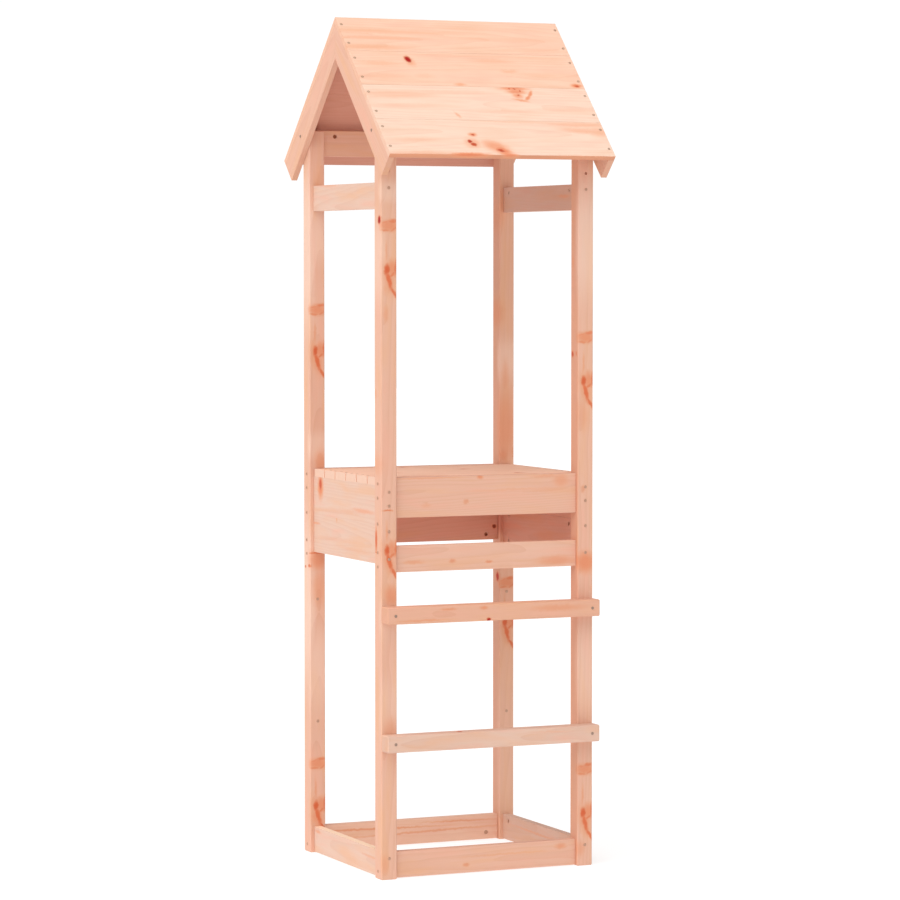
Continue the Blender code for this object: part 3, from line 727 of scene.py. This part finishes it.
for side, word in ((-1, "left"), (1, "right")):
    strips = bmesh.new()
    glued_joint(strips, side, f"{word}_lower_board", f"{word}_upper_board")
    glued_joint(strips, side, f"{word}_upper_board", "deck_board_1")
    mesh = bpy.data.meshes.new(f"{word}_panel_joints")
    strips.to_mesh(mesh)
    strips.free()
    joints = bpy.data.objects.new(f"{word}_panel_joints", mesh)
    scene.collection.objects.link(joints)
    mesh.materials.append(nodes[f"{word}_upper_board"].data.materials[0])
    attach(joints, "root")
    print(joints.name, [round(value, 4) for value in joints.dimensions])

# %% [markdown]
# ## Bolts, barrel nuts and screws
#
# The tower is a knock-down kit. A bolt goes through a post and along into the end of a board,
# where a barrel nut, a short cross-drilled cylinder, sits in a bore from the board's inner face.
# From outside only the low bolt heads show, and from inside only the slotted ends of the nuts.
#
# Each fitting is modelled once, pointing up, and its mesh is then copied to every place. That
# keeps them alike and light. A round head is quickest as a profile spun round its axis.


# %% Turned shapes
def turned(profile, sides):
    """Spin a profile of (radius, height) in millimetres round Z, from axis to axis."""
    shape = bmesh.new()
    points = [shape.verts.new((radius * MM, 0.0, height * MM)) for radius, height in profile]
    edges = [shape.edges.new(pair) for pair in zip(points, points[1:])]
    bmesh.ops.spin(shape, geom=points + edges, cent=(0, 0, 0), axis=(0, 0, 1), dvec=(0, 0, 0),
                   angle=math.tau, steps=sides, use_merge=True)
    bmesh.ops.remove_doubles(shape, verts=shape.verts, dist=0.01 * MM)
    bmesh.ops.recalc_face_normals(shape, faces=shape.faces)
    return shape


def disc(radius, height, sides):
    """A cylinder in millimetres whose flat top, at the origin, is one face."""
    shape = bmesh.new()
    bmesh.ops.create_cone(shape, cap_ends=True, segments=sides, radius1=radius * MM,
                          radius2=radius * MM, depth=height * MM,
                          matrix=Matrix.Translation((0, 0, -height * MM / 2)))
    return shape


def top_face(shape):
    return max(shape.faces, key=lambda face: (round(face.calc_center_median().z, 6),
                                              -face.calc_center_median().to_2d().length))


def cut_across(shape, half_width, turn):
    """Cut the tagged faces by two lines, half_width to each side of the axis."""
    for side in (-1, 1):
        across = Matrix.Rotation(turn, 3, "Z") @ Vector((side, 0, 0))
        region = [f for f in shape.faces if f.tag]
        geometry = region + list({e for f in region for e in f.edges}
                                 | {v for f in region for v in f.verts})
        cut = bmesh.ops.bisect_plane(shape, geom=geometry, dist=1e-6,
                                     plane_co=across * half_width * MM, plane_no=across)
        for item in cut["geom"]:
            if isinstance(item, bmesh.types.BMFace):
                item.tag = True


def push_in(shape, faces, depth):
    """Sink some faces straight down, with walls round them."""
    pushed = bmesh.ops.extrude_face_region(shape, geom=faces)["geom"]
    moved = [item for item in pushed if isinstance(item, bmesh.types.BMVert)]
    bmesh.ops.translate(shape, verts=moved, vec=(0, 0, -depth * MM))
    bmesh.ops.delete(shape, geom=faces, context="FACES")
    bmesh.ops.recalc_face_normals(shape, faces=shape.faces)


# %% [markdown]
# The spin leaves a round socket of twelve sides. Drawing every second corner in makes it a true
# hexagon.

# %% Bolt head, barrel nut and screw head
HEAD_RADIUS = 3.5
SOCKET_RADIUS = 1.7
HEAD_SIDES = 12
SOCKET_FLOOR = 0.8
bolt = turned([(0, -9.0), (2.9, -9.0), (2.9, 0.0), (HEAD_RADIUS, 0.0), (HEAD_RADIUS, 0.5),
               (3.1, 1.1), (SOCKET_RADIUS + 0.25, 1.4), (SOCKET_RADIUS, 1.3),
               (SOCKET_RADIUS, SOCKET_FLOOR), (0, SOCKET_FLOOR)], HEAD_SIDES)
flats = [v for v in bolt.verts if abs(v.co.to_2d().length - SOCKET_RADIUS * MM) < 0.01 * MM
         and round(math.degrees(math.atan2(v.co.y, v.co.x)) / 30) % 2]
bmesh.ops.scale(bolt, verts=flats, vec=(math.cos(math.pi / 6), math.cos(math.pi / 6), 1.0))

# A barrel nut is a plain cylinder with a slot, which shows the fitter how its thread lies
BARREL_RADIUS, BARREL_LENGTH, BARREL_EDGE = 4.75, 8.5, 0.4
SLOT_HALF, SLOT_DEPTH = 0.7, 1.2
barrel = disc(BARREL_RADIUS, BARREL_LENGTH, 16)
rim = [e for e in barrel.edges if all(v.co.z > -MM for v in e.verts)]
bmesh.ops.bevel(barrel, geom=rim, offset=BARREL_EDGE * MM, segments=1, profile=0.5,
                affect="EDGES", material=-1)
for face in barrel.faces:
    face.tag = face == top_face(barrel)
cut_across(barrel, SLOT_HALF, 0.0)
push_in(barrel, [top_face(barrel)], SLOT_DEPTH)

# A countersunk screw is driven flush, so only its flat head with a cross recess shows
SCREW_RADIUS, SCREW_THICKNESS, SCREW_RIM = 3.2, 1.0, 1.1
CROSS_HALF, CROSS_DEPTH = 0.45, 0.7
screw = disc(SCREW_RADIUS, SCREW_THICKNESS, 14)
bmesh.ops.inset_region(screw, faces=[top_face(screw)], thickness=SCREW_RIM * MM)
for face in screw.faces:
    face.tag = face == top_face(screw)
for turn in (0.0, math.pi / 2):
    cut_across(screw, CROSS_HALF, turn)
cross = [f for f in screw.faces if f.tag and min(abs(c) for c in f.calc_center_median().xy) < 1e-5]
push_in(screw, cross, CROSS_DEPTH)
for label, shape in (("bolt", bolt), ("barrel nut", barrel), ("screw", screw)):
    print(label, "faces:", len(shape.faces))


# %% Copies in place
def copies(name, template, places, metal, lift=0.0):
    """One object holding a copy of a fitting at each place, its axis along each direction."""
    stamp = bpy.data.meshes.new("stamp")
    template.to_mesh(stamp)
    shape = bmesh.new()
    for place, direction in places:
        before = len(shape.verts)
        shape.from_mesh(stamp)
        shape.verts.ensure_lookup_table()
        axis = Vector(direction)
        turn = axis.to_track_quat("Z", "X").to_matrix().to_4x4()
        spot = Matrix.Translation(Vector(place) + axis.normalized() * lift * MM) @ turn
        spin = Matrix.Rotation(draw.uniform(0.0, math.tau), 4, "Z")
        bmesh.ops.transform(shape, matrix=spot @ spin, verts=shape.verts[before:])
    mesh = bpy.data.meshes.new(name)
    shape.to_mesh(mesh)
    shape.free()
    bpy.data.meshes.remove(stamp)
    piece = bpy.data.objects.new(name, mesh)
    scene.collection.objects.link(piece)
    piece.data.materials.append(metal)
    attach(piece, "root")
    print(name, len(places), "in place")


# %% [markdown]
# Zinc plating is a thin, dull, silvery coat with a crystalline bloom, so its shine is broken up:
# we vary the roughness by a fine noise and keep the default IOR of a metal. The screws have a
# yellow passivated coat. The barrel nuts are dark brown as painted shade and a painted reflection
# of the wood round them in their deep bores.
# The bolts of the steps and rafters are the most handled, so theirs is worn and darker.


# %% Zinc plated steel
def plated_steel(name, dull, bright):
    """Steel with a dull zinc coat, whose tone and shine vary from crystal to crystal."""
    material, tree, shader = new_material(name)
    place = add(tree, "ShaderNodeTexCoord").outputs["Object"]
    bloom = add(tree, "ShaderNodeTexNoise", {"Vector": place, "Scale": 900.0, "Detail": 3.0})
    tone = add(tree, "ShaderNodeMix", {0: bloom.outputs["Fac"], 6: linear(dull),
                                       7: linear(bright)}, data_type="RGBA")
    tree.links.new(tone.outputs[2], shader.inputs["Base Color"])
    shader.inputs["Metallic"].default_value = 1.0
    gloss = add(tree, "ShaderNodeMapRange", {"Value": bloom.outputs["Fac"], "To Min": 0.42,
                                             "To Max": 0.6})
    tree.links.new(gloss.outputs[0], shader.inputs["Roughness"])
    return material


zinc = plated_steel("zinc_plated_steel", "#BC937C", "#D6B09A")
worn_zinc = plated_steel("worn_zinc_plated_steel", "#9E8578", "#B8A090")
yellow_zinc = plated_steel("yellow_zinc_plated_steel", "#B48F77", "#CDA98F")
# The barrel nuts' dark brown is painted shade and a painted reflection of the wood in their bores
zinc_with_painted_bore_shade = plated_steel("zinc_plated_steel_with_painted_bore_shade", "#A4694F", "#BC7F62")

# %% Where the fittings go
POST_X, POST_Y = 0.2435, 0.2135
POST_HALF = 0.019
BOARD_HALF = 0.009
STEP_HEIGHTS = (0.309, 0.596)
ACROSS_BOLTS = (0.018, 0.7025, 0.7342, 0.7982, 0.8565, 0.8885)
ALONG_BOLTS = (0.048, 0.7199, 0.7816, 0.8392, 0.8702, 1.547)
BEAM_BOLT = 1.675
corners = [(side, end) for side in (-1, 1) for end in (-1, 1)]

heads = [((side * (POST_X + POST_HALF), end * POST_Y, z), (side, 0, 0))
         for side, end in corners for z in ACROSS_BOLTS]
heads += [((side * POST_X, end * (POST_Y + POST_HALF), z), (0, end, 0))
          for side, end in corners for z in ALONG_BOLTS]
copies("post_bolts", bolt, heads, zinc)

step_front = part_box("lower_step")[0].y
copies("step_bolts", bolt, [((side * POST_X, step_front, z), (0, -1, 0))
                            for side in (-1, 1) for z in STEP_HEIGHTS], worn_zinc)
rafter_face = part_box("front_right_rafter")[1].x
copies("rafter_bolts", bolt, [((side * rafter_face, end * POST_Y, BEAM_BOLT), (side, 0, 0))
                              for side, end in corners], worn_zinc)
copies("back_post_bolts", bolt, [((side * POST_X, POST_Y + end * POST_HALF, z), (0, end, 0))
                                 for side, end in corners for z in STEP_HEIGHTS], zinc)
copies("step_bolt_nuts", bolt, [((side * POST_X, -POST_Y + POST_HALF, z), (0, 1, 0))
                                for side in (-1, 1) for z in STEP_HEIGHTS], zinc)

# %% Barrel nuts
BARREL_INSET = 0.030
FIT = 0.0003
ACROSS_BARRELS = {"front_base_rail": (0.018,), "back_base_rail": (0.018,),
                  "front_lower_board": (0.7025, 0.7342), "front_upper_board": (0.8565, 0.8885),
                  "back_upper_board": (0.8565, 0.8885), "back_lower_board": (0.7342, 0.7982),
                  "front_top_beam": (BEAM_BOLT,), "back_top_beam": (BEAM_BOLT,)}
ALONG_BARRELS = {"left_base_rail": (0.048,), "left_lower_board": (0.7199, 0.7816),
                 "left_upper_board": (0.8392, 0.8702), "left_collar": (1.547,)}
# Most nuts lie deep in their bores, in the dark. The collars' and the back base rail's lie flush
NUT_SUNK = 4.6
FLUSH_NUT_SUNK = 0.1
barrels, flush_nuts = [], []
for name, heights in ACROSS_BARRELS.items():
    end = -1 if name.startswith("front") else 1
    reach = POST_X - POST_HALF - FIT - BARREL_INSET
    group = flush_nuts if name == "back_base_rail" else barrels
    group += [((side * reach, end * (POST_Y - BOARD_HALF), z), (0, -end, 0))
              for side in (-1, 1) for z in heights]
for name, heights in ALONG_BARRELS.items():
    reach = POST_Y - POST_HALF - FIT - BARREL_INSET
    group = flush_nuts if name == "left_collar" else barrels
    group += [((side * (POST_X - BOARD_HALF), end * reach, z), (-side, 0, 0))
              for side, end in corners for z in heights]
copies("barrel_nuts", barrel, barrels, zinc_with_painted_bore_shade, lift=-NUT_SUNK)
copies("flush_barrel_nuts", barrel, flush_nuts, zinc, lift=-FLUSH_NUT_SUNK)

# %% Screws
ROOF_SCREW_INSET = 0.0085
ROOF_SCREWS = (0.024, 0.087)
ROOF_PITCH_STEP = 0.1125
SCREW_LIFT = 0.15
screws = []
for side, end in corners:
    for board in range(4):
        for down in ROOF_SCREWS:
            s = (board * ROOF_PITCH_STEP + down) * SLOPE
            screws.append(((side * (rafter_face - ROOF_SCREW_INSET), end * s, RIDGE_HEIGHT - s),
                           (0, end * SLOPE, SLOPE)))
copies("roof_screws", screw, screws, yellow_zinc, lift=SCREW_LIFT)
screws = []
for number in range(1, 7):
    low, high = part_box(f"deck_board_{number}")
    for side in (-1, 1):
        for share in (0.25, 0.75):
            screws.append(((side * POST_X, low.y + share * (high.y - low.y), high.z), (0, 0, 1)))
copies("deck_screws", screw, screws, yellow_zinc, lift=SCREW_LIFT)

# %% [markdown]
# The front posts have one spare hole each, high up, where nothing is bolted on. A short dowel of
# the post's own wood fills it, so that the eye meets brown wood there and no black hole.

# %% Dowels in the spare holes
# The left dowel lies nearly flush, and the right one deeper
SPARE_HOLE = 1.584
DOWEL_RADIUS, DOWEL_LENGTH = 3.2, 28.0
DOWEL_SUNK = {-1: 1.0, 1: 5.0}
dowel = disc(DOWEL_RADIUS, DOWEL_LENGTH, 16)
hole_ends = [((side * POST_X, -POST_Y - POST_HALF + sunk * MM, SPARE_HOLE), (0, -1, 0))
             for side, sunk in DOWEL_SUNK.items()]
copies("spare_hole_dowels", dowel, hole_ends, nodes["front_right_post"].data.materials[0])

# %% Print the sizes and finish
low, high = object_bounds()
print("visual box:", [round(value, 4) for value in (*low, *high)])
